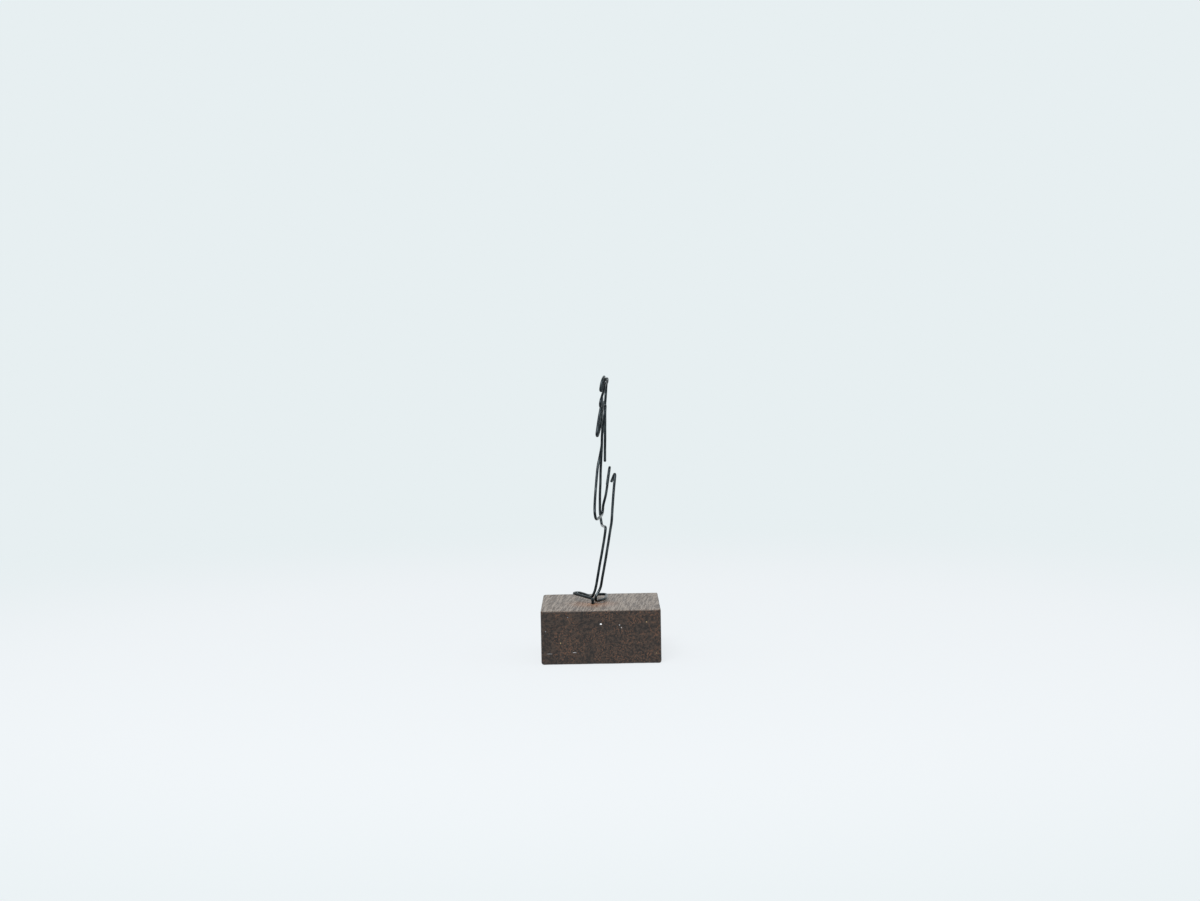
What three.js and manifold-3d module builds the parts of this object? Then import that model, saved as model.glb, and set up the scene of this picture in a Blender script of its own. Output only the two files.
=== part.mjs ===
// A small standing figure drawn in one length of black steel wire, set in a square block of dark wood.
// Millimetres, +Z up. The origin is the middle of the block's underside. The figure faces +Y, and its
// right side is on the +X side, so the flat drawing of the wire lies nearly in the YZ plane.

import * as THREE from 'three';
import { mergeVertices } from 'three/addons/utils/BufferGeometryUtils.js';
import Module from 'manifold-3d';

const wasm = await Module();
wasm.setup();

// ---- Driving dimensions -------------------------------------------------------------------------

const block = {
  side: 40,
  height: 18.1,
  uprightEdge: 1.1, // radius of the four upright edges
  topEdge: 0.5, // radius of the edges round the top
  footEdge: 1.2, // radius of the edges round the underside
  arcSteps: 5,
};

const hole = {
  x: -2.6,
  y: -4.6,
  diameter: 2.3,
  depth: 9,
  sides: 20,
};

const wire = {
  diameter: 0.9,
  sides: 8,
  stepsPerSpan: 3, // rings of the tube between two neighbouring points of the route
  pinchAboveHoleFloor: 0.6,
  pairSpacing: 1.15, // in the hole the wire is pinched to a pair, one strand behind the other
};

// Heights of the figure's levels above the top of the block.
const level = {
  sole: 1.0,
  heel: 1.7,
  toe: 2.4,
  shin: 14.1,
  lowHem: 25.7,
  highHem: 29.2,
  hip: 40.2,
  waist: 47,
  highWaist: 52,
  bust: 56.8,
  shoulder: 67,
  chin: 68.5,
  brow: 73.6,
  crown: 76.8,
};

// Depths of the figure along Y, from the back of the skirt to its front.
const depth = {
  skirtBack: -9.2,
  headBack: -5.3,
  shoulderBlade: -4.2,
  ankle: -4.1,
  waistBack: -2.9,
  waistFront: 5.7,
  bust: 6.3,
  brow: 5.3,
  hands: 9.4,
  skirtFront: 9.6,
};

const leftFoot = { length: 11.4, turnedOut: 31, width: 2.4, toeLift: 0.5 };
const rightFoot = { length: 12.2, turnedOut: 4, width: 3.6, toeLift: 0.5 };

// Smallest radii that the wire is bent to, on its centre line.
const bend = { tight: 0.7, elbow: 0.8, bun: 1.1, round: 1.2, hem: 1.7 };

// ---- Plain geometry helpers ---------------------------------------------------------------------

function solidFrom(geometry) {
  const bare = geometry.index ? geometry.toNonIndexed() : geometry.clone();
  bare.deleteAttribute('normal');
  bare.deleteAttribute('uv');
  const merged = mergeVertices(bare, 1e-4);
  return new wasm.Manifold(new wasm.Mesh({
    numProp: 3,
    vertProperties: merged.attributes.position.array,
    triVerts: new Uint32Array(merged.index.array),
  }));
}

function geometryFrom(solid) {
  const mesh = solid.getMesh();
  const geometry = new THREE.BufferGeometry();
  geometry.setAttribute('position', new THREE.BufferAttribute(mesh.vertProperties, mesh.numProp));
  geometry.setIndex(new THREE.BufferAttribute(mesh.triVerts, 1));
  geometry.computeVertexNormals();
  return geometry;
}

// A rectangle from (left, bottom) to (right, top) with its lower and upper corners rounded.
function roundedOutline(left, bottom, right, top, lowRadius, highRadius) {
  const outline = new THREE.Shape();
  outline.moveTo(left + lowRadius, bottom);
  outline.absarc(right - lowRadius, bottom + lowRadius, lowRadius, -Math.PI / 2, 0, false);
  outline.absarc(right - highRadius, top - highRadius, highRadius, 0, Math.PI / 2, false);
  outline.absarc(left + highRadius, top - highRadius, highRadius, Math.PI / 2, Math.PI, false);
  outline.absarc(left + lowRadius, bottom + lowRadius, lowRadius, Math.PI, 1.5 * Math.PI, false);
  outline.closePath();
  return outline;
}

// ---- The wooden block ---------------------------------------------------------------------------

// The block is where three rounded bars cross: its plan, its front outline and its side outline.
function woodBlock() {
  const half = block.side / 2;
  const spare = 2;
  const options = { bevelEnabled: false, curveSegments: block.arcSteps };

  const plan = new THREE.ExtrudeGeometry(
    roundedOutline(-half, -half, half, half, block.uprightEdge, block.uprightEdge),
    { ...options, depth: block.height + 2 * spare },
  );
  plan.translate(0, 0, -spare);

  const face = roundedOutline(-half, 0, half, block.height, block.footEdge, block.topEdge);
  const front = new THREE.ExtrudeGeometry(face, { ...options, depth: block.side + 2 * spare });
  front.translate(0, 0, -half - spare);
  front.rotateX(Math.PI / 2);
  const side = front.clone();
  side.rotateZ(Math.PI / 2);

  const drilled = new THREE.CylinderGeometry(
    hole.diameter / 2, hole.diameter / 2, hole.depth + spare, hole.sides,
  );
  drilled.rotateX(Math.PI / 2);
  drilled.translate(hole.x, hole.y, block.height + (spare - hole.depth) / 2);

  const solid = solidFrom(plan)
    .intersect(solidFrom(front))
    .intersect(solidFrom(side))
    .subtract(solidFrom(drilled));
  return geometryFrom(solid);
}

// ---- The route of the wire ----------------------------------------------------------------------

// One place that the wire passes, at a height above the top of the block. With a radius, the wire
// turns round at that place on an arc of that radius.
function pass(x, y, height, radius = 0) {
  return { at: new THREE.Vector3(x, y, block.height + height), radius };
}

// The loop of one foot, from its heel up one side, round the toe and back along the other side.
function footLoop(heel, foot, side, splay) {
  const angle = THREE.MathUtils.degToRad(foot.turnedOut);
  const along = new THREE.Vector3(splay * Math.sin(angle), Math.cos(angle), 0);
  const across = new THREE.Vector3(along.y, -along.x, 0).multiplyScalar(side * foot.width / 2);
  const place = (share, offset, radius) => {
    const at = heel.clone().addScaledVector(along, foot.length * share);
    at.addScaledVector(across, offset);
    at.z += foot.toeLift * share;
    return { at, radius };
  };
  return [
    place(0.3, 0.85, 0),
    place(0.7, 1, 0),
    place(1, 0, foot.width / 2),
    place(0.7, -1, 0),
    place(0.3, -0.85, 0),
  ];
}

// The arc that rounds the turn at one place, between the places before and after it.
function turnArc(before, place, after) {
  const { at, radius } = place;
  const toBefore = before.clone().sub(at).normalize();
  const toAfter = after.clone().sub(at).normalize();
  const inward = toBefore.clone().add(toAfter).normalize();
  const across = toAfter.clone().addScaledVector(inward, -toAfter.dot(inward)).normalize();
  const sweep = Math.PI / 2 - toBefore.angleTo(toAfter) / 2;
  const centre = at.clone().addScaledVector(inward, radius);
  const steps = Math.max(1, Math.round(sweep / (Math.PI / 5)));
  const arc = [];
  for (let step = -steps; step <= steps; step += 1) {
    const angle = sweep * step / steps;
    const point = centre.clone().addScaledVector(across, radius * Math.sin(angle));
    arc.push(point.addScaledVector(inward, -radius * Math.cos(angle)));
  }
  return arc;
}

const pinchHeight = wire.pinchAboveHoleFloor - hole.depth;
const nearStrandY = hole.y - wire.pairSpacing / 2;
const farStrandY = hole.y + wire.pairSpacing / 2;

// The wire starts with a free end, hooked over at the right hip.
const rightHip = [
  pass(4.4, -1.5, 41.2),
  pass(5.6, -3.6, 43.9, bend.tight),
  pass(5.15, -5.7, 38.9),
  pass(4.6, -7.7, 33.3),
];

const rightLeg = [
  pass(4.2, depth.skirtBack - 0.1, 28.3),
  pass(3.85, depth.skirtBack + 0.1, 26.2),
  pass(2.5, -7.2, 18.4),
  pass(0.9, -5.1, 9.7),
  pass(0, depth.ankle - 0.2, 5.3),
  pass(-1.6, -5.4, 1.6, bend.round),
  ...footLoop(new THREE.Vector3(-0.4, -4.6, block.height + level.sole), rightFoot, 1, 1),
  pass(hole.x, farStrandY + 0.15, level.sole + 0.2, bend.tight),
  pass(hole.x, farStrandY, pinchHeight / 2),
  pass(hole.x, hole.y, pinchHeight, wire.pairSpacing / 2),
];

const leftLeg = [
  pass(hole.x, nearStrandY, pinchHeight / 2),
  pass(hole.x, nearStrandY, 0),
  pass(hole.x - 0.3, nearStrandY + 0.2, level.heel, bend.tight),
  ...footLoop(new THREE.Vector3(-2.6, -4.4, block.height + 2), leftFoot, -1, -1),
  pass(-2.7, -3.7, level.toe + 0.2, bend.tight),
  pass(-1.8, depth.ankle, 4.6),
  pass(0.1, -4.9, level.shin),
  pass(1.6, -5.8, 22),
  pass(2.15, -6.2, level.lowHem, bend.round),
];

const frontOfBody = [
  pass(1.6, 1.5, level.lowHem),
  pass(0.8, depth.skirtFront, level.lowHem + 0.1, bend.hem),
  pass(0.35, 9.7, level.highHem + 0.4),
  pass(0.4, 9, 34.5),
  pass(0.7, 7.4, 40.9),
  pass(0.95, depth.waistFront, level.waist),
  pass(1.3, depth.waistFront, level.highWaist),
  pass(1.5, depth.bust, level.bust),
  pass(1.85, depth.bust - 0.5, 60.6),
  pass(2.55, 3.7, 64.1),
  pass(2.7, 2.4, level.shoulder - 0.5),
];

const head = [
  pass(2.85, 3.8, level.chin),
  pass(3.05, depth.brow, 71.2),
  pass(3.25, depth.brow - 0.6, level.brow),
  pass(3.6, 1.6, 75.1),
  pass(3.6, -0.6, 76.1),
  pass(2.95, -2.6, 75.8),
  pass(2.2, -3.9, 74.7),
  pass(1.4, depth.headBack, 72.2, bend.tight),
];

const hair = [
  pass(1.6, depth.headBack - 0.3, 74.4),
  pass(2, -4.8, 75.8),
  pass(2.6, -1.6, level.crown),
  pass(2.55, 0.7, 76.1),
  pass(2.65, 0.9, 74.6),
  pass(2.6, -2, 73.4),
  pass(2.25, -3.6, 71.9),
  pass(1.75, -5.5, 70.5),
  pass(1.3, -6.9, 69.1),
  pass(1.1, -6.7, 67.1, bend.bun),
  pass(1.6, -4.8, 68.6),
  pass(1.75, -3.7, 69.8, bend.elbow),
  pass(1.5, -2.9, 68.7),
];

const arms = [
  pass(1.3, -3.2, level.shoulder - 0.2),
  pass(0.7, -4.4, 63.9),
  pass(-0.2, -7.4, level.bust + 0.5, bend.elbow),
  pass(1.1, -2.6, 61.1),
  pass(1.5, 0.3, 63.3),
  pass(1.7, 3.4, 65.5),
  pass(2.5, depth.hands, 67.4, bend.round),
  pass(2.5, 4.8, 56.2),
  pass(2.35, 0.7, level.waist + 1.2, bend.elbow),
  pass(2.5, -0.4, 56.5),
  pass(2.7, -0.9, 64.7),
  pass(2.8, -2, level.shoulder + 0.1, bend.elbow),
];

const backOfBody = [
  pass(2.5, depth.shoulderBlade, 63.8),
  pass(2, depth.shoulderBlade - 0.1, 60.8),
  pass(1.5, -3.8, 57.4),
  pass(1.3, depth.waistBack, 53.6),
  pass(0.7, depth.waistBack, 50.3),
  pass(0, -3.8, level.waist + 0.3),
  pass(-0.5, -5.2, 43.4),
  pass(-1.1, -7.3, 37.5),
  pass(-1.4, -8.8, 32.9),
  pass(-1.15, depth.skirtBack, level.highHem + 0.6, bend.hem),
  pass(0.4, -1, level.highHem + 0.1),
  pass(1.2, 8.7, level.highHem + 0.5, bend.round),
];

// The skirt's right panel ends in the second free end, turned down inside the hip.
const rightPanel = [
  pass(1.5, 8, 32.2),
  pass(2.45, 6.9, 35.9),
  pass(3.1, 5.3, 40),
  pass(3.9, 2, 45.8, bend.round),
  pass(2.9, -1, level.hip),
];

const route = [
  ...rightHip, ...rightLeg, ...leftLeg, ...frontOfBody, ...head, ...hair, ...arms, ...backOfBody,
  ...rightPanel,
];

// ---- The wire figure ----------------------------------------------------------------------------

// A smooth curve through the route. Its rings are shared out between the points of the route instead
// of by length, so that they stand close together where the wire bends.
class BentWire extends THREE.CatmullRomCurve3 {
  getUtoTmapping(share) {
    return share;
  }
}

function wireFigure() {
  const points = route.flatMap((place, index) => {
    if (place.radius === 0) {
      return [place.at];
    }
    return turnArc(route[index - 1].at, place, route[index + 1].at);
  });
  const section = new THREE.Shape();
  section.absarc(0, 0, wire.diameter / 2, 0, 2 * Math.PI, false);
  return new THREE.ExtrudeGeometry(section, {
    steps: wire.stepsPerSpan * (points.length - 1),
    curveSegments: wire.sides / 2,
    extrudePath: new BentWire(points, false, 'centripetal'),
  });
}

// ---- The finished model -------------------------------------------------------------------------

function named(name, geometry, material) {
  const mesh = new THREE.Mesh(geometry, material);
  mesh.name = name;
  return mesh;
}

const darkWood = new THREE.MeshStandardMaterial({ color: 0x4a3a30, roughness: 0.7, metalness: 0 });
const blackSteel = new THREE.MeshStandardMaterial({ color: 0x24282a, roughness: 0.4, metalness: 0.8 });

const group = new THREE.Group();
group.add(named('wood_block', woodBlock(), darkWood));
group.add(named('wire_figure', wireFigure(), blackSteel));

export default group;
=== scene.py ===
"""A standing figure drawn in one length of black wire, on its block of dark wood."""

import math
import random
from types import SimpleNamespace

import bmesh
import bpy
import numpy as np
from bpy.props import FloatProperty, FloatVectorProperty, IntProperty, PointerProperty
from mathutils import Matrix, Vector, noise


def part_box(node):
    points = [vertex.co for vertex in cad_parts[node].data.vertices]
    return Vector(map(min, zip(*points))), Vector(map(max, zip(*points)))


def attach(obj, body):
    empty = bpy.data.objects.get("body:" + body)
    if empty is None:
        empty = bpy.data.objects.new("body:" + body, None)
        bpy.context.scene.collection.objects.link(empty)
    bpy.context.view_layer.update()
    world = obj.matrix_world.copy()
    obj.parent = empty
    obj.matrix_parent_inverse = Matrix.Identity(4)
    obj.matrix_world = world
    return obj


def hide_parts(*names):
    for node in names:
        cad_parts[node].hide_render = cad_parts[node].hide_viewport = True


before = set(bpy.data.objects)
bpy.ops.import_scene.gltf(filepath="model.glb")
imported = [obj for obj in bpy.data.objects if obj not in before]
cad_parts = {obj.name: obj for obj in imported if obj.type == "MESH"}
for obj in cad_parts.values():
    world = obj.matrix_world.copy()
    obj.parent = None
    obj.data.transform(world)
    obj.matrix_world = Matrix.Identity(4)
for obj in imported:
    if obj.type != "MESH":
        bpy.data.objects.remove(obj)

bl_info = {
    "name": "Wire Figure on a Wooden Block",
    "version": (1, 0, 0),
    "blender": (4, 5, 0),
    "location": "3D View > Sidebar > Wire Figure",
    "description": "Builds a small wire figure, the block it stands in and a plain studio stage",
    "category": "Add Mesh",
}

MM = 0.001
BLOCK_LOW, BLOCK_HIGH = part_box("wood_block")


# ---- Settings -----------------------------------------------------------------------------------


def length(name, description, millimetres):
    """A size that is stored in metres and given here in millimetres."""
    return FloatProperty(
        name=name,
        description=description,
        default=millimetres * MM,
        subtype="DISTANCE",
        unit="LENGTH",
        precision=5,
    )


def turn(name, description, degrees):
    """An angle that is stored in radians and given here in degrees."""
    return FloatProperty(
        name=name,
        description=description,
        default=math.radians(degrees),
        subtype="ANGLE",
        unit="ROTATION",
    )


def share(name, description, default):
    """A plain number from 0 to 1."""
    return FloatProperty(
        name=name, description=description, default=default, min=0, max=1, subtype="FACTOR"
    )


def tint(name, description, red, green, blue):
    """A colour, in linear values."""
    return FloatVectorProperty(
        name=name,
        description=description,
        default=(red, green, blue),
        min=0,
        max=1,
        size=3,
        subtype="COLOR",
    )


# Small marks on the block's front: place and size across and up in millimetres, strength, colour.
PALE, YELLOW, BLUISH = (0.75, 0.75, 0.76), (0.42, 0.30, 0.14), (0.20, 0.25, 0.30)
FRONT_MARKS = [
    ((0.0, 13.5), (0.8, 0.55), 0.95, PALE),
    ((6.2, 13.1), (0.4, 0.35), 0.5, PALE),
    ((6.8, 12.2), (0.35, 0.4), 0.5, PALE),
    ((15.2, 14.0), (0.45, 0.45), 0.6, YELLOW),
    ((-8.9, 4.1), (1.4, 0.25), 0.4, PALE),
    ((-17.2, 3.8), (2.2, 0.2), 0.25, PALE),
    ((-13.5, 7.3), (0.4, 0.7), 0.5, YELLOW),
    ((-11.0, 15.9), (0.35, 0.35), 0.6, BLUISH),
    ((-18.4, 11.3), (0.35, 0.4), 0.6, BLUISH),
    ((18.3, 3.5), (0.4, 0.4), 0.5, YELLOW),
]


class FigureHeights(bpy.types.PropertyGroup):
    """Heights of the figure's levels above the top of the block."""

    sole: length("Sole", "Underside of the right foot's loop", 1.0)
    heel: length("Heel", "Where the wire leaves the hole for the left heel", 1.7)
    toe: length("Toe", "Tip of the left foot", 2.4)
    shin: length("Shin", "Middle of the left shin", 14.1)
    low_hem: length("Low hem", "The lower of the two runs of the hem", 25.7)
    high_hem: length("High hem", "The upper of the two runs of the hem", 29.2)
    hip: length("Hip", "The lower of the wire's two free ends", 40.2)
    waist: length("Waist", "Narrowest place of the body", 47.0)
    high_waist: length("High waist", "Top of the straight part of the waist", 52.0)
    bust: length("Bust", "Fullest place of the chest", 56.8)
    shoulder: length("Shoulder", "Turn of the wire at the shoulders", 67.0)
    chin: length("Chin", "Underside of the head's loop", 68.5)
    brow: length("Brow", "Upper front of the head's loop", 73.6)
    crown: length("Crown", "Top of the hair", 76.8)


class FigureDepths(bpy.types.PropertyGroup):
    """Places of the figure from its back, which is negative, to its front."""

    skirt_back: length("Back of the skirt", "Lowest hem at the back", -9.2)
    head_back: length("Back of the head", "Where the head's loop closes", -5.3)
    shoulder_blade: length("Shoulder blade", "Back below the shoulders", -4.2)
    ankle: length("Ankle", "Where the legs come down to the feet", -4.1)
    waist_back: length("Back of the waist", "Hollow of the back", -2.9)
    waist_front: length("Front of the waist", "Flat of the belly", 5.7)
    bust: length("Bust", "Front of the chest", 6.3)
    brow: length("Brow", "Front of the head's loop", 5.3)
    hands: length("Hands", "Point where the forearms meet", 9.4)
    skirt_front: length("Front of the skirt", "Lowest hem at the front", 9.6)


class WireSettings(bpy.types.PropertyGroup):
    """The wire, its bends and its finish."""

    heights: PointerProperty(name="Heights", type=FigureHeights)
    depths: PointerProperty(name="Depths", type=FigureDepths)
    diameter: length("Wire diameter", "Thickness of the wire", 0.9)
    ring_spacing: length("Ring spacing", "Distance between two rings of the mesh", 0.16)
    sides: IntProperty(name="Sides", description="Corners of the wire's section", default=20, min=6)
    left_foot_length: length("Left foot", "Length of the left foot's loop", 11.4)
    left_foot_width: length("Left foot width", "Width of the left foot's loop", 2.4)
    left_foot_turn: turn("Left foot turned out", "Turn of the left foot away from the front", 31)
    left_foot_lift: length("Left toe lift", "Rise of the left foot towards its toe", 0.5)
    right_foot_length: length("Right foot", "Length of the right foot's loop", 12.2)
    right_foot_width: length("Right foot width", "Width of the right foot's loop", 3.6)
    right_foot_turn: turn("Right foot turned out", "Turn of the right foot away from the front", 4)
    right_foot_lift: length("Right toe lift", "Rise of the right foot towards its toe", 0.5)
    tight_bend: length("Tight bend", "Radius of the sharpest bends", 0.7)
    elbow_bend: length("Elbow bend", "Radius at the elbows and shoulders", 0.8)
    bun_bend: length("Bun bend", "Radius of the knot of hair", 1.1)
    round_bend: length("Round bend", "Radius at the hands", 1.2)
    hem_bend: length("Hem bend", "Radius where the hem turns up", 1.7)
    wander: length("Wander", "How far the wire strays from its line between bends", 0.07)
    flattening: share("Flattening", "How much a tight bend flattens the section", 0.14)
    pair_spacing: length("Pair spacing", "Distance between the two strands in the hole", 1.15)
    pinch_clearance: length("Pinch clearance", "From the pinch to the hole's floor", 0.6)
    scale_dark: tint("Dark scale", "Colour of the thick blue-black scale", 0.016, 0.020, 0.023)
    scale_worn: tint("Worn scale", "Colour where handling has thinned the scale", 0.070, 0.086, 0.090)
    rust: tint("Rust", "Colour of the few specks of rust", 0.110, 0.055, 0.030)
    seed: IntProperty(name="Seed", description="Start of the random wander", default=7)


class BlockSettings(bpy.types.PropertyGroup):
    """The wooden block, its edges, its hole and its finish."""

    side: FloatProperty(
        name="Side",
        description="Length of the block's sides",
        default=BLOCK_HIGH.x - BLOCK_LOW.x,
        subtype="DISTANCE",
        unit="LENGTH",
        precision=5,
    )
    height: FloatProperty(
        name="Height",
        description="Height of the block",
        default=BLOCK_HIGH.z - BLOCK_LOW.z,
        subtype="DISTANCE",
        unit="LENGTH",
        precision=5,
    )
    upright_edge: length("Upright edges", "Radius of the four upright edges", 1.1)
    top_edge: length("Top edges", "Radius of the edges round the top", 0.5)
    foot_edge: length("Foot edges", "Radius of the edges round the underside", 1.2)
    edge_band: length("Edge band", "Width of the finely meshed band along the edges", 1.5)
    mesh_step: length("Mesh step", "Size of the mesh's faces on the flat sides", 0.36)
    edge_wear: share("Edge wear", "How unevenly the edges are rounded", 0.3)
    dents: IntProperty(name="Dents", description="Small dents along the edges", default=22, min=0)
    dent_depth: length("Dent depth", "Depth of the deepest dent", 0.16)
    hole_x: length("Hole across", "Place of the hole from the middle, to the right", -2.6)
    hole_y: length("Hole along", "Place of the hole from the middle, to the front", -4.6)
    hole_diameter: length("Hole diameter", "Width of the hole for the pinched wire", 2.1)
    hole_depth: length("Hole depth", "Depth of the hole", 9.0)
    hole_lip: length("Hole lip", "Width of the worn lip round the hole", 0.15)
    grain_turn: turn("Grain turn", "Turn of the grain away from front to back", 5)
    pore_spacing: length("Pore spacing", "Distance between the pores", 0.45)
    pore_length: length("Pore length", "Length of the pores along the grain", 6.0)
    ring_width: length("Ring width", "Width of one growth ring", 2.3)
    wood_dark: tint("Dark wood", "Colour of the dense late wood", 0.009, 0.006, 0.005)
    wood_brown: tint("Brown wood", "Main colour of the wood", 0.038, 0.024, 0.017)
    wood_red: tint("Red wood", "Colour of the reddish blotches", 0.085, 0.041, 0.023)
    # Painted sheen: this pale colour on the top stands in for the top's glancing reflection of the pale
    # surround.
    top_painted_sheen: tint("Bleached top", "Colour of the top, paler from the light", 0.235, 0.190, 0.158)
    top_sheen_band: length("Top band", "How far the paler tone reaches down the top edges", 0.35)
    top_streak: tint("Streaks of the top", "Colour of the top's fine streaks", 0.095, 0.070, 0.057)
    wood_raw: tint("Raw wood", "Colour of the bare wood round the hole", 0.33, 0.15, 0.075)
    seed: IntProperty(name="Seed", description="Start of the random dents", default=11)


class StageSettings(bpy.types.PropertyGroup):
    """The floor, the air round it, the lights and the camera."""

    floor: tint("Floor", "Tone of the floor near the object", 0.825, 0.855, 0.878)
    haze: tint("Surround", "Tone of the far floor and the surround", 0.799, 0.863, 0.880)
    floor_shade: share("Floor shade", "How much of the floor's tone comes from the lights", 0.1)
    floor_radius: FloatProperty(
        name="Floor radius", description="Radius of the floor", default=12.0, unit="LENGTH"
    )
    key_power: FloatProperty(
        name="Key light", description="Power of the overhead light", default=8.5, unit="POWER"
    )
    fill_power: FloatProperty(
        name="Fill light", description="Power of the side light", default=0.8, unit="POWER"
    )
    camera_distance: length("Camera distance", "Camera to the middle of the block", 710.34)
    camera_height: length("Camera height", "Camera above the floor", 121.15)
    camera_aside: length("Camera aside", "Camera to the right of the middle", 0.73)
    camera_pitch: turn("Camera pitch", "Tilt of the camera below the horizon", 4.131)
    camera_roll: turn("Camera roll", "Lean of the camera to its right", 1.009)
    camera_lens: FloatProperty(
        name="Lens", description="Focal length of the camera", default=62.92, unit="CAMERA"
    )


def in_millimetres(settings):
    """The sizes of a settings group as plain numbers in millimetres."""
    sizes = SimpleNamespace()
    for name in settings.__annotations__:
        value = getattr(settings, name)
        if isinstance(value, float):
            setattr(sizes, name, value / MM)
    return sizes


# ---- Node helpers -------------------------------------------------------------------------------


def add_node(tree, kind, inputs=None, **settings):
    """A new node with its own settings; an input is a value or the socket that feeds it."""
    made = tree.nodes.new(kind)
    made.location = (190 * (len(tree.nodes) % 12), -260 * (len(tree.nodes) // 12))
    for name, value in settings.items():
        setattr(made, name, value)
    for name, value in (inputs or {}).items():
        if isinstance(value, bpy.types.NodeSocket):
            tree.links.new(value, made.inputs[name])
        else:
            made.inputs[name].default_value = value
    return made


def calculate(tree, operation, *values, clamp=False):
    """The result of a Math node."""
    inputs = dict(enumerate(values))
    return add_node(tree, "ShaderNodeMath", inputs, operation=operation, use_clamp=clamp).outputs[0]


def combine(tree, operation, *values):
    """The vector result of a Vector Math node."""
    inputs = dict(enumerate(values))
    return add_node(tree, "ShaderNodeVectorMath", inputs, operation=operation).outputs["Vector"]


def measure(tree, operation, *values):
    """The plain number that a Vector Math node gives."""
    inputs = dict(enumerate(values))
    return add_node(tree, "ShaderNodeVectorMath", inputs, operation=operation).outputs["Value"]


def scaled(tree, vector, amount):
    """A vector times a plain number."""
    inputs = {"Vector": vector, "Scale": amount}
    return add_node(tree, "ShaderNodeVectorMath", inputs, operation="SCALE").outputs["Vector"]


def cloud(tree, vector, scale, detail=2.0, roughness=0.5, distortion=0.0):
    """The value of a Noise texture, about 0 to 1."""
    inputs = {
        "Vector": vector,
        "Scale": scale,
        "Detail": detail,
        "Roughness": roughness,
        "Distortion": distortion,
    }
    return add_node(tree, "ShaderNodeTexNoise", inputs).outputs[0]


def cloud_vector(tree, vector, scale, detail=2.0):
    """A wandering vector, about -0.5 to 0.5 each way."""
    inputs = {"Vector": vector, "Scale": scale, "Detail": detail}
    made = add_node(tree, "ShaderNodeTexNoise", inputs)
    return combine(tree, "SUBTRACT", made.outputs["Color"], (0.5, 0.5, 0.5))


def ease(tree, value, low, high, to_low=0.0, to_high=1.0):
    """A smooth step of a value from low to high."""
    inputs = {"Value": value, 1: low, 2: high, 3: to_low, 4: to_high}
    made = add_node(tree, "ShaderNodeMapRange", inputs, interpolation_type="SMOOTHSTEP")
    return made.outputs[0]


def blend(tree, amount, first, second, mode="MIX"):
    """A Mix node for colours."""
    made = add_node(tree, "ShaderNodeMix", data_type="RGBA", blend_type=mode, clamp_factor=True)
    for index, value in ((0, amount), (6, first), (7, second)):
        if isinstance(value, bpy.types.NodeSocket):
            tree.links.new(value, made.inputs[index])
        elif index == 0:
            made.inputs[index].default_value = value
        else:
            made.inputs[index].default_value = (*value, 1.0)
    return made.outputs[2]


def raised(tree, height, distance, strength=1.0, under=None):
    """A Bump node over an earlier normal."""
    inputs = {"Height": height, "Distance": distance, "Strength": strength}
    if under is not None:
        inputs["Normal"] = under
    return add_node(tree, "ShaderNodeBump", inputs).outputs["Normal"]


def new_material(name):
    """A material with nodes, its tree and its main shader."""
    material = bpy.data.materials.new(name)
    material.use_nodes = True
    tree = material.node_tree
    return material, tree, tree.nodes["Principled BSDF"]


def join_socket(tree, source, shader, name):
    """Feeds one socket of the main shader."""
    tree.links.new(source, shader.inputs[name])


# ---- Materials ----------------------------------------------------------------------------------


def wire_material(wire):
    """Annealed steel wire under its black scale, worn to grey where it was handled."""
    material, tree, shader = new_material("black_annealed_wire")
    place = add_node(tree, "ShaderNodeTexCoord").outputs["Object"]
    along = add_node(tree, "ShaderNodeAttribute", attribute_name="wire_place").outputs["Vector"]
    drawn = combine(tree, "MULTIPLY", along, (9000.0, 9000.0, 160.0))

    patches = cloud(tree, place, 260.0, 3.0, 0.55)
    lines = cloud(tree, drawn, 1.0, 2.0)
    grit = cloud(tree, place, 5200.0, 2.0)
    mixed = calculate(tree, "MULTIPLY_ADD", lines, 0.15, calculate(tree, "MULTIPLY", patches, 0.85))
    worn = ease(tree, mixed, 0.42, 0.74)
    colour = blend(tree, worn, tuple(wire.scale_dark), tuple(wire.scale_worn))
    specks = ease(tree, cloud(tree, place, 900.0, 4.0, 0.7), 0.66, 0.74)
    spots = calculate(tree, "MULTIPLY", specks, 0.6)
    join_socket(tree, blend(tree, spots, colour, tuple(wire.rust)), shader, "Base Color")

    gloss = calculate(tree, "MULTIPLY_ADD", grit, 0.08, 0.24)
    rough = calculate(tree, "MULTIPLY_ADD", specks, 0.25, gloss)
    join_socket(tree, rough, shader, "Roughness")
    shader.inputs["Metallic"].default_value = 1.0

    furrows = raised(tree, lines, 0.000008, 0.3)
    join_socket(tree, raised(tree, grit, 0.000006, 0.3, furrows), shader, "Normal")
    return material


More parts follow.
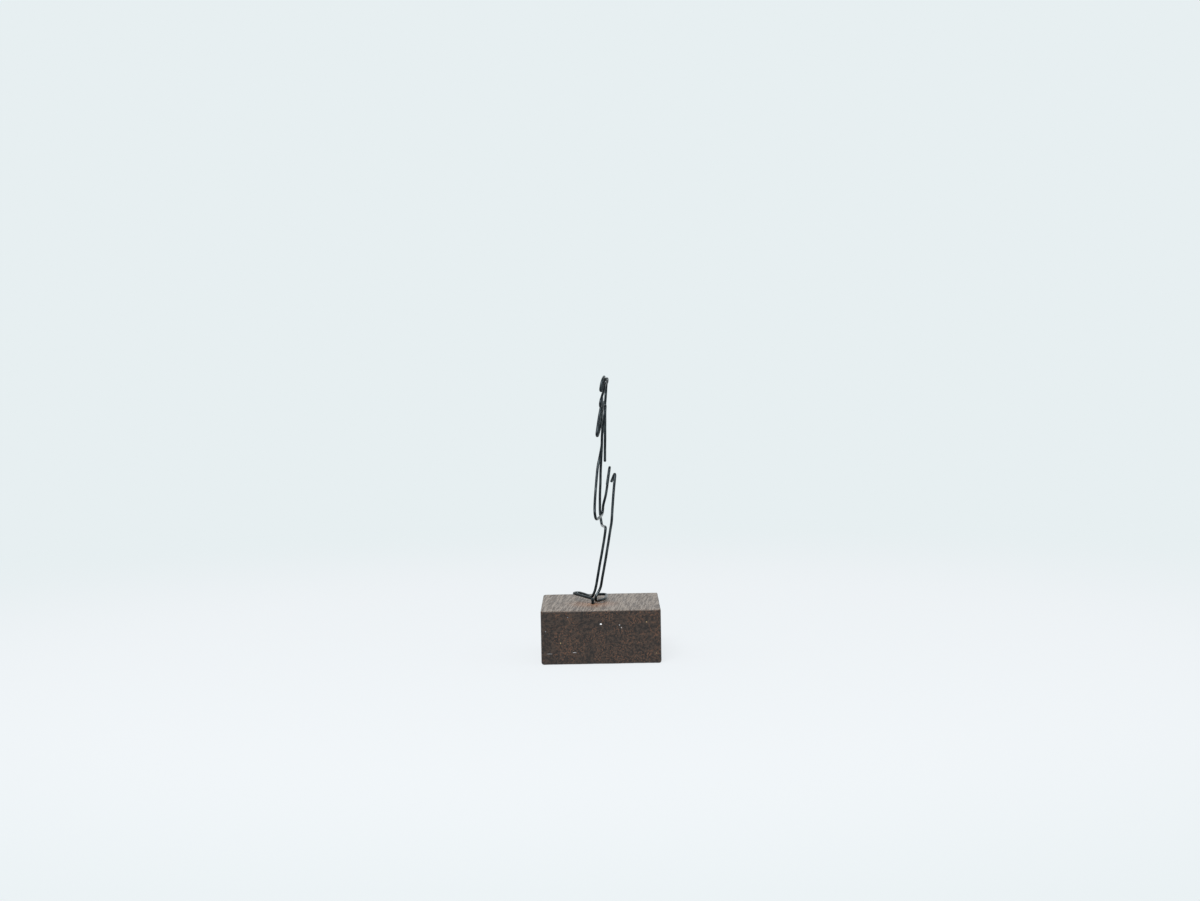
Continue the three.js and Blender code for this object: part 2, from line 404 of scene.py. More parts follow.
def wood_material(block):
    """Dark oiled wood with its pores along the block from front to back."""
    material, tree, shader = new_material("dark_oiled_wood")
    place = add_node(tree, "ShaderNodeTexCoord").outputs["Object"]
    turned = {"Vector": place, "Rotation": (0, 0, block.grain_turn), "Scale": (1000.0,) * 3}
    grain = add_node(tree, "ShaderNodeMapping", turned).outputs["Vector"]
    drift = combine(tree, "MULTIPLY", grain, (0.07, 0.022, 0.07))
    wave = scaled(tree, cloud_vector(tree, drift, 1.0), 2.6)
    fibre = combine(tree, "ADD", grain, wave)

    # Growth rings round a heart that lay below the block.
    from_heart = combine(tree, "MULTIPLY", combine(tree, "ADD", fibre, (-17, 0, 46)), (1, 0, 1))
    radius = measure(tree, "LENGTH", from_heart)
    cycles = calculate(tree, "DIVIDE", radius, block.ring_width / MM)
    ring = ease(tree, calculate(tree, "FRACT", cycles), 0.0, 0.9)

    # Pores are long tubes: dots on the end grain, dashes on the other sides.
    spacing, long = block.pore_spacing / MM, block.pore_length / MM
    tubes = combine(tree, "MULTIPLY", fibre, (1 / spacing, 1 / long, 1 / spacing))
    cells = add_node(tree, "ShaderNodeTexVoronoi", {"Vector": tubes, "Scale": 1.0})
    pore = ease(tree, cells.outputs["Distance"], 0.16, 0.34, 1.0, 0.0)
    strands = combine(tree, "MULTIPLY", fibre, (1.25, 0.07, 1.25))
    strand = cloud(tree, strands, 1.0, 3.0, 0.6)
    fine = cloud(tree, combine(tree, "MULTIPLY", fibre, (7.0, 0.5, 7.0)), 1.0, 2.0)
    blotch = cloud(tree, combine(tree, "MULTIPLY", fibre, (0.16, 0.07, 0.2)), 1.0, 3.0, 0.62, 0.4)

    brown = blend(tree, ease(tree, strand, 0.4, 0.62), tuple(block.wood_dark), tuple(block.wood_brown))
    flecks = combine(tree, "MULTIPLY", fibre, (1.9, 0.2, 1.9))
    fleck = ease(tree, cloud(tree, flecks, 1.0, 1.0), 0.5, 0.64)
    red = calculate(tree, "MULTIPLY", ease(tree, blotch, 0.36, 0.62), fleck)
    colour = blend(tree, red, brown, tuple(block.wood_red))

    # Painted sheen: the top is painted paler to stand in for its glancing reflection of the pale
    # surround, and only its fine streaks keep their darkness.
    up = add_node(tree, "ShaderNodeSeparateXYZ", {"Vector": place}).outputs["Z"]
    top = ease(tree, up, block.height - block.top_sheen_band, block.height - block.top_sheen_band / 7)
    streaks = combine(tree, "MULTIPLY", fibre, (2.1, 0.09, 2.1))
    streak = cloud(tree, streaks, 1.0, 2.0, 0.6)
    painted_sheen = blend(
        tree, ease(tree, streak, 0.4, 0.6), tuple(block.top_streak), tuple(block.top_painted_sheen)
    )
    # Lays the painted sheen over the top face and a little way down the top edges.
    colour = blend(tree, calculate(tree, "MULTIPLY", top, 0.9), colour, painted_sheen)
    colour = blend(tree, calculate(tree, "MULTIPLY", ring, 0.3), colour, (0.62, 0.6, 0.6), "MULTIPLY")
    colour = blend(tree, calculate(tree, "MULTIPLY", pore, 0.55), colour, (0.25, 0.22, 0.2), "MULTIPLY")

    # The wood round the hole is bare and warmer.
    hole = (block.hole_x, block.hole_y, block.height)
    aside = combine(tree, "SUBTRACT", place, hole)
    reach = scaled(tree, combine(tree, "ADD", scaled(tree, aside, 1000.0), wave), 1.0)
    near = measure(tree, "LENGTH", combine(tree, "MULTIPLY", reach, (1.0, 1.0, 0.35)))
    rim = ease(tree, near, 1.5, 2.6, 1.0, 0.0)
    colour = blend(tree, calculate(tree, "MULTIPLY", rim, 0.55), colour, tuple(block.wood_raw))
    warm = ease(tree, near, 2.0, 11.0, 0.3, 0.0)
    colour = blend(tree, warm, colour, tuple(block.wood_raw))
    for (across, height), (width, tall), strength, tone in FRONT_MARKS:
        middle = (across * MM, -block.side / 2, height * MM)
        offset = combine(tree, "SUBTRACT", place, middle)
        spread = (2 / (width * MM), 1 / MM, 2 / (tall * MM))
        apart = measure(tree, "LENGTH", combine(tree, "MULTIPLY", offset, spread))
        mark = calculate(tree, "MULTIPLY", ease(tree, apart, 0.6, 1.1, 1.0, 0.0), strength)
        colour = blend(tree, mark, colour, tone)
    join_socket(tree, colour, shader, "Base Color")

    shine = calculate(tree, "MULTIPLY_ADD", strand, 0.2, 0.38)
    join_socket(tree, calculate(tree, "MULTIPLY_ADD", pore, 0.2, shine), shader, "Roughness")
    shader.inputs["Specular IOR Level"].default_value = 0.36

    sunk = calculate(tree, "MULTIPLY", pore, -1.0)
    pits = raised(tree, sunk, 0.00006, 0.6)
    furrows = raised(tree, strand, 0.00008, 0.5, pits)
    join_socket(tree, raised(tree, fine, 0.00002, 0.5, furrows), shader, "Normal")
    return material


# ---- The route of the wire ----------------------------------------------------------------------


def foot_loop(heel, size, width, turned_out, lift, side, splay):
    """The loop of one foot, from its heel up one side, round the toe and back on the other side."""
    forward = Vector((splay * math.sin(turned_out), math.cos(turned_out), 0))
    across = Vector((forward.y, -forward.x, 0)) * (side * width / 2)

    def place(part, offset, radius=0.0):
        at = heel + forward * (size * part) + across * offset
        at.z += lift * part
        return at, radius

    return [
        place(0.3, 0.85),
        place(0.7, 1),
        place(1, 0, width / 2),
        place(0.7, -1),
        place(0.3, -0.85),
    ]


def figure_route(wire, block_height):
    """The places that the wire passes, in millimetres, each with the radius that it turns on."""
    size = in_millimetres(wire)
    level = in_millimetres(wire.heights)
    depth = in_millimetres(wire.depths)
    block = bpy.context.scene.figure_block
    hole_x, hole_y = block.hole_x / MM, block.hole_y / MM
    pinch = size.pinch_clearance - block.hole_depth / MM
    near_strand, far_strand = hole_y - size.pair_spacing / 2, hole_y + size.pair_spacing / 2

    def at(x, y, height, radius=0.0):
        return Vector((x, y, block_height + height)), radius

    left_foot = foot_loop(
        at(hole_x, -4.4, 2)[0],
        size.left_foot_length,
        size.left_foot_width,
        wire.left_foot_turn,
        size.left_foot_lift,
        -1,
        -1,
    )
    right_foot = foot_loop(
        at(-0.4, -4.6, level.sole)[0],
        size.right_foot_length,
        size.right_foot_width,
        wire.right_foot_turn,
        size.right_foot_lift,
        1,
        1,
    )
    right_hip = [
        at(4.4, -1.5, 41.2),
        at(5.6, -3.6, 43.9, size.tight_bend),
        at(5.15, -5.7, 38.9),
        at(4.6, -7.7, 33.3),
    ]
    right_leg = [
        at(4.2, depth.skirt_back - 0.1, 28.3),
        at(3.85, depth.skirt_back + 0.1, 26.2),
        at(2.5, -7.2, 18.4),
        at(0.9, -5.1, 9.7),
        at(0, depth.ankle - 0.2, 5.3),
        at(-1.6, -5.4, 1.6, size.round_bend),
        *right_foot,
        at(hole_x, far_strand + 0.15, level.sole + 0.2, size.tight_bend),
        at(hole_x, far_strand, pinch / 2),
        at(hole_x, hole_y, pinch, size.pair_spacing / 2),
    ]
    left_leg = [
        at(hole_x, near_strand, pinch / 2),
        at(hole_x, near_strand, 0),
        at(hole_x - 0.3, near_strand + 0.2, level.heel, size.tight_bend),
        *left_foot,
        at(-2.7, -3.7, level.toe + 0.2, size.tight_bend),
        at(-1.8, depth.ankle, 4.6),
        at(0.1, -4.9, level.shin),
        at(1.6, -5.8, 22),
        at(2.15, -6.2, level.low_hem, size.round_bend),
    ]
    front = [
        at(1.6, 1.5, level.low_hem),
        at(0.8, depth.skirt_front, level.low_hem + 0.1, size.hem_bend),
        at(0.35, 9.7, level.high_hem + 0.4),
        at(0.4, 9, 34.5),
        at(0.7, 7.4, 40.9),
        at(0.95, depth.waist_front, level.waist),
        at(1.3, depth.waist_front, level.high_waist),
        at(1.5, depth.bust, level.bust),
        at(1.85, depth.bust - 0.5, 60.6),
        at(2.55, 3.7, 64.1),
        at(2.7, 2.4, level.shoulder - 0.5),
    ]
    head = [
        at(2.85, 3.8, level.chin),
        at(3.05, depth.brow, 71.2),
        at(3.25, depth.brow - 0.6, level.brow),
        at(3.6, 1.6, 75.1),
        at(3.6, -0.6, 76.1),
        at(2.95, -2.6, 75.8),
        at(2.2, -3.9, 74.7),
        at(1.4, depth.head_back, 72.2, size.tight_bend),
    ]
    hair = [
        at(1.6, depth.head_back - 0.3, 74.4),
        at(2, -4.8, 75.8),
        at(2.6, -1.6, level.crown),
        at(2.55, 0.7, 76.1),
        at(2.65, 0.9, 74.6),
        at(2.6, -2, 73.4),
        at(2.25, -3.6, 71.9),
        at(1.75, -5.5, 70.5),
        at(1.3, -6.9, 69.1),
        at(1.1, -6.7, 67.1, size.bun_bend),
        at(1.6, -4.8, 68.6),
        at(1.75, -3.7, 69.8, size.elbow_bend),
        at(1.5, -2.9, 68.7),
    ]
    arms = [
        at(1.3, -3.2, level.shoulder - 0.2),
        at(0.7, -4.4, 63.9),
        at(-0.2, -7.4, level.bust + 0.5, size.elbow_bend),
        at(1.1, -2.6, 61.1),
        at(1.5, 0.3, 63.3),
        at(1.7, 3.4, 65.5),
        at(2.5, depth.hands, 67.4, size.round_bend),
        at(2.5, 4.8, 56.2),
        at(2.35, 0.7, level.waist + 1.2, size.elbow_bend),
        at(2.5, -0.4, 56.5),
        at(2.7, -0.9, 64.7),
        at(2.8, -2, level.shoulder + 0.1, size.elbow_bend),
    ]
    back = [
        at(2.5, depth.shoulder_blade, 63.8),
        at(2, depth.shoulder_blade - 0.1, 60.8),
        at(1.5, -3.8, 57.4),
        at(1.3, depth.waist_back, 53.6),
        at(0.7, depth.waist_back, 50.3),
        at(0, -3.8, level.waist + 0.3),
        at(-0.5, -5.2, 43.4),
        at(-1.1, -7.3, 37.5),
        at(-1.4, -8.8, 32.9),
        at(-1.15, depth.skirt_back, level.high_hem + 0.6, size.hem_bend),
        at(0.4, -1, level.high_hem + 0.1),
        at(1.2, 8.7, level.high_hem + 0.5, size.round_bend),
    ]
    right_panel = [
        at(1.5, 8, 32.2),
        at(2.45, 6.9, 35.9),
        at(3.1, 5.3, 40),
        at(3.9, 2, 45.8, size.round_bend),
        at(2.9, -1, level.hip),
    ]
    upward = left_leg + front + head + hair + arms + back + right_panel
    return right_hip + right_leg + upward


def turn_arc(before, at, after, radius):
    """Points on the arc that rounds the turn at one place; its tip is the place itself."""
    to_before, to_after = (before - at).normalized(), (after - at).normalized()
    inward = (to_before + to_after).normalized()
    across = (to_after - inward * to_after.dot(inward)).normalized()
    sweep = math.pi / 2 - to_before.angle(to_after) / 2
    centre = at + inward * radius
    steps = max(1, round(sweep / (math.pi / 5)))
    angles = [sweep * step / steps for step in range(-steps, steps + 1)]
    return [centre + across * (radius * math.sin(a)) - inward * (radius * math.cos(a)) for a in angles]


def smooth_line(points, steps):
    """A centripetal curve through the points, with so many steps between two of them."""
    given = np.array(points, float)
    ends = 2 * given[0] - given[1], 2 * given[-1] - given[-2]
    p = np.vstack([ends[0], given, ends[1]])
    gaps = np.linalg.norm(np.diff(p, axis=0), axis=1) ** 0.5
    line = []
    for i in range(1, len(p) - 2):
        d0, d1, d2 = gaps[i - 1 : i + 2]
        low = (p[i] - p[i - 1]) / d0 - (p[i + 1] - p[i - 1]) / (d0 + d1) + (p[i + 1] - p[i]) / d1
        high = (p[i + 1] - p[i]) / d1 - (p[i + 2] - p[i]) / (d1 + d2) + (p[i + 2] - p[i + 1]) / d2
        low, high = low * d1, high * d1
        for step in range(steps):
            t = step / steps
            square = 3 * (p[i + 1] - p[i]) - 2 * low - high
            cube = 2 * (p[i] - p[i + 1]) + low + high
            line.append(p[i] + t * (low + t * (square + t * cube)))
    line.append(p[-2])
    return np.array(line)


def wire_line(wire, block_height):
    """The middle line of the whole wire, in metres."""
    route = figure_route(wire, block_height / MM)
    points = []
    for index, (at, radius) in enumerate(route):
        if radius == 0:
            points.append(at)
        else:
            points += turn_arc(route[index - 1][0], at, route[index + 1][0], radius)
    return smooth_line(points, 14) * MM


# ---- The wire -----------------------------------------------------------------------------------


def bent_wire_tree(material):
    """Sweeps a round section along a line, flattens it in the bends and lets it wander a little."""
    tree = bpy.data.node_groups.new("bent_wire", "GeometryNodeTree")
    tree.is_modifier = True
    sockets = (
        ("Line", "INPUT", "NodeSocketGeometry"),
        ("Diameter", "INPUT", "NodeSocketFloat"),
        ("Sides", "INPUT", "NodeSocketInt"),
        ("Ring spacing", "INPUT", "NodeSocketFloat"),
        ("Wander", "INPUT", "NodeSocketFloat"),
        ("Flattening", "INPUT", "NodeSocketFloat"),
        ("Seed", "INPUT", "NodeSocketInt"),
        ("Wire", "OUTPUT", "NodeSocketGeometry"),
    )
    for name, way, kind in sockets:
        tree.interface.new_socket(name, in_out=way, socket_type=kind)
    given = add_node(tree, "NodeGroupInput").outputs
    position = add_node(tree, "GeometryNodeInputPosition").outputs[0]

    line = add_node(tree, "GeometryNodeMeshToCurve", {"Mesh": given["Line"]}).outputs[0]
    spaced = {"Curve": line, "Length": given["Ring spacing"]}
    line = add_node(tree, "GeometryNodeResampleCurve", spaced, mode="LENGTH").outputs[0]

    # The hand leaves long shallow waves between the bends, and none where the ends are held.
    part = add_node(tree, "GeometryNodeSplineParameter").outputs
    shift = calculate(tree, "MULTIPLY", given["Seed"], 0.37)
    moved = combine(tree, "ADD", scaled(tree, position, 95.0), shift)
    sway = scaled(tree, cloud_vector(tree, moved, 1.0, 1.0), given["Wander"])
    start = ease(tree, part["Factor"], 0.02, 0.05)
    finish = ease(tree, part["Factor"], 0.95, 0.98, 1.0, 0.0)
    held = calculate(tree, "MULTIPLY", calculate(tree, "MULTIPLY", start, finish), 3.0)
    swayed = {"Geometry": line, "Offset": scaled(tree, sway, held)}
    line = add_node(tree, "GeometryNodeSetPosition", swayed).outputs[0]

    # How sharply the line bends at each ring, times the wire's radius.
    index = add_node(tree, "GeometryNodeInputIndex").outputs[0]
    sides = []
    for step in (-2, 2):
        neighbour = calculate(tree, "ADD", index, step)
        inputs = {"Value": position, "Index": calculate(tree, "MAXIMUM", neighbour, 0)}
        kind = "GeometryNodeFieldAtIndex"
        sides.append(add_node(tree, kind, inputs, data_type="FLOAT_VECTOR").outputs[0])
    bow = combine(tree, "SUBTRACT", combine(tree, "ADD", *sides), scaled(tree, position, 2.0))
    reach = calculate(tree, "POWER", calculate(tree, "MULTIPLY", given["Ring spacing"], 2.0), 2.0)
    half = calculate(tree, "MULTIPLY", given["Diameter"], 0.5)
    bow = scaled(tree, bow, calculate(tree, "DIVIDE", half, reach))
    bow = scaled(tree, bow, calculate(tree, "MULTIPLY", start, finish))

    keep = add_node(tree, "GeometryNodeCaptureAttribute", domain="POINT")
    for name, kind in (("Middle", "VECTOR"), ("Bow", "VECTOR"), ("Along", "FLOAT")):
        keep.capture_items.new(kind, name)
    tree.links.new(line, keep.inputs[0])
    tree.links.new(position, keep.inputs["Middle"])
    tree.links.new(bow, keep.inputs["Bow"])
    tree.links.new(part["Length"], keep.inputs["Along"])

    ring = {"Resolution": given["Sides"], "Radius": half}
    ring = add_node(tree, "GeometryNodeCurvePrimitiveCircle", ring).outputs[0]
    keep_ring = add_node(tree, "GeometryNodeCaptureAttribute", domain="POINT")
    keep_ring.capture_items.new("VECTOR", "Round")
    tree.links.new(ring, keep_ring.inputs[0])
    tree.links.new(position, keep_ring.inputs["Round"])

    swept = {"Curve": keep.outputs[0], "Profile Curve": keep_ring.outputs[0], "Fill Caps": True}
    mesh = add_node(tree, "GeometryNodeCurveToMesh", swept).outputs[0]

    # Where the wire bends its section gives way along the bend and spreads across it.
    out = combine(tree, "SUBTRACT", position, keep.outputs["Middle"])
    way = combine(tree, "NORMALIZE", keep.outputs["Bow"])
    sharp = calculate(tree, "MINIMUM", measure(tree, "LENGTH", keep.outputs["Bow"]), 1.0)
    squash = calculate(tree, "MULTIPLY", sharp, given["Flattening"])
    within = scaled(tree, way, measure(tree, "DOT_PRODUCT", out, way))
    beside = combine(tree, "SUBTRACT", out, within)
    inward = scaled(tree, within, calculate(tree, "MULTIPLY", squash, -1.0))
    spread = scaled(tree, beside, calculate(tree, "MULTIPLY", squash, 0.45))
    offset = combine(tree, "ADD", inward, spread)
    bent = {"Geometry": mesh, "Offset": offset}
    mesh = add_node(tree, "GeometryNodeSetPosition", bent).outputs[0]

    # Small nicks from the jaws of the pliers.
    lumps = add_node(tree, "ShaderNodeTexVoronoi", {"Vector": position, "Scale": 430.0})
    nick = ease(tree, lumps.outputs["Distance"], 0.06, 0.2, 0.00004, 0.0)
    normal = add_node(tree, "GeometryNodeInputNormal").outputs[0]
    nicked = {"Geometry": mesh, "Offset": scaled(tree, normal, calculate(tree, "MULTIPLY", nick, -1.0))}
    mesh = add_node(tree, "GeometryNodeSetPosition", nicked).outputs[0]

    split = add_node(tree, "ShaderNodeSeparateXYZ", {"Vector": keep_ring.outputs["Round"]}).outputs
    place = {"X": split["X"], "Y": split["Y"], "Z": keep.outputs["Along"]}
    place = add_node(tree, "ShaderNodeCombineXYZ", place).outputs[0]
    stored = {"Geometry": mesh, "Name": "wire_place", "Value": place}
    kind = "GeometryNodeStoreNamedAttribute"
    mesh = add_node(tree, kind, stored, data_type="FLOAT_VECTOR", domain="POINT").outputs[0]
    mesh = add_node(tree, "GeometryNodeSetShadeSmooth", {"Geometry": mesh}).outputs[0]
    mesh = add_node(tree, "GeometryNodeRealizeInstances", {"Geometry": mesh}).outputs[0]
    dressed = {"Geometry": mesh, "Material": material}
    mesh = add_node(tree, "GeometryNodeSetMaterial", dressed).outputs[0]
    add_node(tree, "NodeGroupOutput", {"Wire": mesh})
    return tree


def grown(name, mesh, tree, values):
    """The plain mesh object that a node tree makes from a mesh."""
    source = bpy.data.objects.new(name + "_source", mesh)
    bpy.context.scene.collection.objects.link(source)
    modifier = source.modifiers.new(tree.name, "NODES")
    modifier.node_group = tree
    for item in tree.interface.items_tree:
        if item.in_out == "INPUT" and item.name in values:
            modifier[item.identifier] = values[item.name]
    source.update_tag()
    bpy.context.view_layer.update()
    depsgraph = bpy.context.evaluated_depsgraph_get()
    made = bpy.data.meshes.new_from_object(
        source.evaluated_get(depsgraph), preserve_all_data_layers=True, depsgraph=depsgraph
    )
    made.name = name
    bpy.data.objects.remove(source)
    piece = bpy.data.objects.new(name, made)
    bpy.context.scene.collection.objects.link(piece)
    return piece


class FIGURE_OT_wire(bpy.types.Operator):
    """Bends the wire along the whole figure, from its first end to its second"""

    bl_idname = "figure.wire"
    bl_label = "Wire figure"

    def execute(self, context):
        wire = context.scene.figure_wire
        line = wire_line(wire, context.scene.figure_block.height)
        mesh = bpy.data.meshes.new("wire_line")
        edges = [(i, i + 1) for i in range(len(line) - 1)]
        mesh.from_pydata([tuple(point) for point in line], edges, [])
        values = {
            "Diameter": wire.diameter,
            "Sides": wire.sides,
            "Ring spacing": wire.ring_spacing,
            "Wander": wire.wander,
            "Flattening": wire.flattening,
            "Seed": wire.seed,
        }
        piece = grown("bent_wire", mesh, bent_wire_tree(wire_material(wire)), values)
        if len(piece.data.polygons) < 1000:
            raise RuntimeError("the wire has no surface")
        piece.data.set_sharp_from_angle(angle=math.radians(50))
        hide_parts("wire_figure")
        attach(piece, "root")
        return {"FINISHED"}


# ---- The block ----------------------------------------------------------------------------------


def stops(low, high, band, step):
    """Places along one side: close together in the bands at both ends, even between them."""
    middle = max(2, round((high - low - 2 * band) / step))
    edge = np.linspace(0, 1, 11)
    return np.concatenate([
        low + edge[:-1] * band,
        np.linspace(low + band, high - band, middle + 1),
        high - band + edge[1:] * band,
    ])


def box_surface(xs, ys, zs):
    """The points and the outward quads of a closed box with those places along its sides."""
    axes = (xs, ys, zs)
    points, quads = [], []
    for axis in range(3):
        u_axis, v_axis = (axis + 1) % 3, (axis + 2) % 3
        u, v = np.meshgrid(axes[u_axis], axes[v_axis], indexing="ij")
        for end in (0, -1):
            sheet = np.empty((*u.shape, 3))
            sheet[..., axis] = axes[axis][end]
            sheet[..., u_axis], sheet[..., v_axis] = u, v
            number = np.arange(u.size).reshape(u.shape) + sum(len(p) for p in points)
            corners = [number[:-1, :-1], number[1:, :-1], number[1:, 1:], number[:-1, 1:]]
            if end == 0:
                corners.reverse()
            quads.append(np.stack(corners, -1).reshape(-1, 4))
            points.append(sheet.reshape(-1, 3))
    points = np.vstack(points)
    keys, first, place = np.unique(
        np.round(points * 1e4).astype(np.int64), axis=0, return_index=True, return_inverse=True
    )
    return points[first], place.reshape(-1)[np.vstack(quads)]


def rounded_distance(u, v, half, low, high, low_radius, high_radius):
    """How far points lie outside a rectangle with rounded corners; negative inside."""
    middle = (low + high) / 2
    radius = np.where(v > middle, high_radius, low_radius)
    over_u = np.abs(u) - half + radius
    over_v = np.abs(v - middle) - (high - low) / 2 + radius
    outside = np.hypot(np.maximum(over_u, 0), np.maximum(over_v, 0))
    return np.minimum(np.maximum(over_u, over_v), 0) + outside - radius


def noise_at(points, scale, seed):
    """Smooth noise from -1 to 1 at each point."""
    shift = Vector((seed * 3.1, seed * 5.7, seed * 1.9))
    return np.array([noise.noise(Vector(point) * scale + shift) for point in points])


def block_shell(block):
    """The block without its hole: edges rounded by hand, faintly uneven, with a few dents."""
    size = in_millimetres(block)
    half, height, band = size.side / 2, size.height, size.edge_band
    across = stops(-half, half, band, size.mesh_step)
    upright = stops(0, height, band, size.mesh_step)
    points, quads = box_surface(across, across, upright)

    core = np.array([half - band, half - band, height - band])
    origin = np.clip(points, (band - half, band - half, band), core)
    way = points - origin
    way /= np.linalg.norm(way, axis=1)[:, None]
    wear = 1 + block.edge_wear * noise_at(origin, 0.22, block.seed)
    wear += 0.5 * block.edge_wear * noise_at(origin, 0.9, block.seed + 1)
    top, foot, side = (wear * r for r in (size.top_edge, size.foot_edge, size.upright_edge))

    def outside(reach):
        x, y, z = (origin + way * reach[:, None]).T
        return np.maximum.reduce([
            rounded_distance(x, y, half, -half, half, side, side),
            rounded_distance(x, z, half, 0, height, foot, top),
            rounded_distance(y, z, half, 0, height, foot, top),
        ])

    near, far = np.zeros(len(points)), np.full(len(points), 2 * band)
    for _ in range(34):
        middle = (near + far) / 2
        inner = outside(middle) < 0
        near, far = np.where(inner, middle, near), np.where(inner, far, middle)

    reach = near - 0.012 * (1 + noise_at(points, 0.16, block.seed + 2))
    points = origin + way * reach[:, None]
    chance = random.Random(block.seed)
    for _ in range(block.dents):
        corner = [chance.choice((-half, half)), chance.choice((-half, half)), chance.choice((0, height))]
        free = chance.choice((0, 1, 0, 1, 2))
        corner[free] = chance.uniform(-half, half) if free < 2 else chance.uniform(0, height)
        wide, deep = chance.uniform(0.35, 0.9), chance.uniform(0.3, 1) * size.dent_depth
        apart = np.linalg.norm(points - np.array(corner), axis=1)
        points = points - way * (deep * np.exp(-((apart / wide) ** 2)))[:, None]

    points[:, 2] = np.maximum(points[:, 2], 0)
    mesh = bpy.data.meshes.new("block_shell")
    mesh.from_pydata((points * MM).tolist(), [], quads.tolist())
    return mesh


def drill_mesh(block):
    """The drilled hole as a solid: a plain bore whose mouth is worn wider, a little unevenly."""
    size = in_millimetres(block)
    radius, lip, depth = size.hole_diameter / 2, size.hole_lip, size.hole_depth
    rings = [(radius, -depth), (radius, -2 * lip), (radius + 0.15 * lip, -1.1 * lip)]
    rings += [(radius + 0.45 * lip, -0.5 * lip), (radius + lip, 0), (radius + 2 * lip, lip)]
    built = bmesh.new()
    count = 48
    loops = []
    for wide, down in rings:
        loop = []
        for step in range(count):
            angle = 2 * math.pi * step / count
            edge = Vector((math.cos(angle), math.sin(angle), 0))
            uneven = noise.noise(edge * 1.7 + Vector((0, 0, block.seed)))
            uneven += 0.5 * noise.noise(edge * 5 + Vector((0, 0, down)))
            reach = wide + lip * uneven * (1 if down > -1.5 * lip else 0.15)
            x, y = size.hole_x + reach * edge.x, size.hole_y + reach * edge.y
            loop.append(built.verts.new(Vector((x, y, size.height + down)) * MM))
        loops.append(loop)
    for low, high in zip(loops, loops[1:]):
        for step in range(count):
            after = (step + 1) % count
            built.faces.new((low[step], low[after], high[after], high[step]))
    built.faces.new(list(reversed(loops[0])))
    built.faces.new(loops[-1])
    mesh = bpy.data.meshes.new("drill")
    built.to_mesh(mesh)
    built.free()
    return mesh


class FIGURE_OT_block(bpy.types.Operator):
    """Makes the wooden block with its eased edges and the hole for the wire's ends"""

    bl_idname = "figure.block"
    bl_label = "Wooden block"

    def execute(self, context):
        block = context.scene.figure_block
        material = wood_material(block)
        shell = bpy.data.objects.new("block_shell", block_shell(block))
        drill = bpy.data.objects.new("drill", drill_mesh(block))
        for made in (shell, drill):
            context.scene.collection.objects.link(made)
        cut = shell.modifiers.new("hole", "BOOLEAN")
        cut.operation = "DIFFERENCE"
        cut.solver = "EXACT"
        cut.object = drill
        context.view_layer.update()
        depsgraph = context.evaluated_depsgraph_get()
        mesh = bpy.data.meshes.new_from_object(shell.evaluated_get(depsgraph), depsgraph=depsgraph)
        for made in (shell, drill):
            bpy.data.objects.remove(made)
        mesh.name = "plinth_block"
        mesh.materials.clear()
        mesh.materials.append(material)
        mesh.polygons.foreach_set("use_smooth", [True] * len(mesh.polygons))
        mesh.set_sharp_from_angle(angle=math.radians(38))
        piece = bpy.data.objects.new("plinth_block", mesh)
        context.scene.collection.objects.link(piece)
        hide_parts("wood_block")
        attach(piece, "root")
        return {"FINISHED"}


# ---- The stage ----------------------------------------------------------------------------------


def area_light(name, power, width, depth, place, target):
    """A soft rectangular light that faces a point."""
    data = bpy.data.lights.new(name, "AREA")
    data.shape = "RECTANGLE"
    data.energy, data.size, data.size_y = power, width, depth
    lamp = bpy.data.objects.new(name, data)
    lamp.location = place
    lamp.rotation_mode = "QUATERNION"
    lamp.rotation_quaternion = (Vector(target) - Vector(place)).to_track_quat("-Z", "Y")
    bpy.context.scene.collection.objects.link(lamp)


class FIGURE_OT_camera(bpy.types.Operator):
    """Places the camera low in front of the object, as a small work is usually looked at"""

    bl_idname = "figure.camera"
    bl_label = "Camera"

    def execute(self, context):
        stage = context.scene.figure_stage
        data = bpy.data.cameras.new("camera")
        data.lens = stage.camera_lens
        data.sensor_width = 36
        data.clip_start, data.clip_end = 0.01, 100
        camera = bpy.data.objects.new("camera", data)
        context.scene.collection.objects.link(camera)
        tilt = Matrix.Rotation(math.pi / 2 - stage.camera_pitch, 4, "X")
        lean = Matrix.Rotation(-stage.camera_roll, 4, "Z")
        place = (stage.camera_aside, -stage.camera_distance, stage.camera_height)
        camera.matrix_world = Matrix.Translation(place) @ tilt @ lean
        context.scene.camera = camera
        return {"FINISHED"}


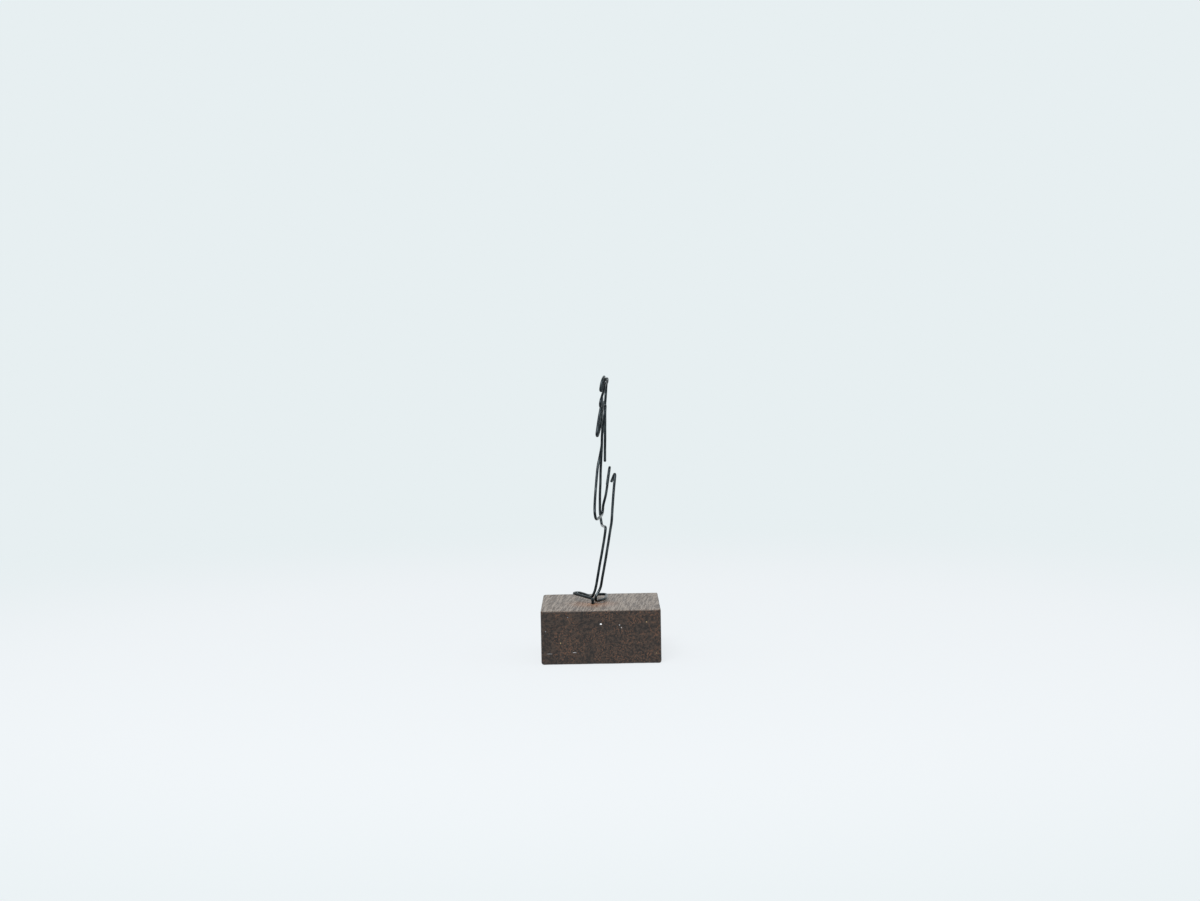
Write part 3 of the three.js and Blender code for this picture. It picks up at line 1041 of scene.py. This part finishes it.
class FIGURE_OT_stage(bpy.types.Operator):
    """Lays the pale floor and sets the soft light"""

    bl_idname = "figure.stage"
    bl_label = "Stage"

    def execute(self, context):
        stage = context.scene.figure_stage
        material, tree, shader = new_material("pale_floor")
        place = add_node(tree, "ShaderNodeTexCoord").outputs["Object"]
        away = ease(tree, measure(tree, "LENGTH", place), 0.16, 0.42)
        colour = blend(tree, away, tuple(stage.floor), tuple(stage.haze))
        lit = calculate(tree, "MULTIPLY_ADD", away, -stage.floor_shade, stage.floor_shade)
        join_socket(tree, scaled(tree, colour, lit), shader, "Base Color")
        own = scaled(tree, colour, calculate(tree, "SUBTRACT", 1.0, lit))
        join_socket(tree, own, shader, "Emission Color")
        shader.inputs["Emission Strength"].default_value = 1.0
        shader.inputs["Roughness"].default_value = 1.0
        shader.inputs["Specular IOR Level"].default_value = 0.0

        built = bmesh.new()
        bmesh.ops.create_circle(built, cap_ends=True, segments=96, radius=stage.floor_radius)
        mesh = bpy.data.meshes.new("floor")
        built.to_mesh(mesh)
        built.free()
        mesh.materials.append(material)
        floor = bpy.data.objects.new("floor", mesh)
        context.scene.collection.objects.link(floor)

        world = bpy.data.worlds.new("soft_surround")
        world.use_nodes = True
        world.node_tree.nodes["Background"].inputs["Color"].default_value = (*stage.haze, 1)
        context.scene.world = world
        area_light("key", stage.key_power, 0.42, 0.42, (-0.15, -0.6, 0.75), (0, 0, 0.05))
        area_light("fill", stage.fill_power, 0.5, 0.5, (0.75, -0.35, 0.5), (0, 0, 0.05))
        context.scene.view_settings.view_transform = "Standard"
        return {"FINISHED"}


# ---- The sidebar panel and registration ---------------------------------------------------------


class FIGURE_PT_sidebar(bpy.types.Panel):
    """The makers of the figure's pieces and their settings"""

    bl_label = "Wire Figure"
    bl_idname = "FIGURE_PT_sidebar"
    bl_space_type = "VIEW_3D"
    bl_region_type = "UI"
    bl_category = "Wire Figure"

    def draw(self, context):
        scene = context.scene
        parts = (
            (scene.figure_stage, (FIGURE_OT_camera, FIGURE_OT_stage)),
            (scene.figure_wire, (FIGURE_OT_wire,)),
            (scene.figure_block, (FIGURE_OT_block,)),
        )
        for settings, makers in parts:
            box = self.layout.box()
            for maker in makers:
                box.operator(maker.bl_idname)
            for name in settings.__annotations__:
                box.prop(settings, name)


CLASSES = (
    FigureHeights,
    FigureDepths,
    WireSettings,
    BlockSettings,
    StageSettings,
    FIGURE_OT_camera,
    FIGURE_OT_stage,
    FIGURE_OT_wire,
    FIGURE_OT_block,
    FIGURE_PT_sidebar,
)


def register():
    """Adds the classes and their settings to Blender."""
    for made in CLASSES:
        bpy.utils.register_class(made)
    bpy.types.Scene.figure_wire = PointerProperty(type=WireSettings)
    bpy.types.Scene.figure_block = PointerProperty(type=BlockSettings)
    bpy.types.Scene.figure_stage = PointerProperty(type=StageSettings)


def unregister():
    """Takes the classes and their settings out of Blender."""
    del bpy.types.Scene.figure_stage
    del bpy.types.Scene.figure_block
    del bpy.types.Scene.figure_wire
    for made in reversed(CLASSES):
        bpy.utils.unregister_class(made)


def main():
    """Builds the whole scene."""
    register()
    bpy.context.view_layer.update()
    bpy.ops.figure.camera()
    bpy.ops.figure.wire()
    bpy.ops.figure.block()
    bpy.ops.figure.stage()


if __name__ == "__main__":
    main()
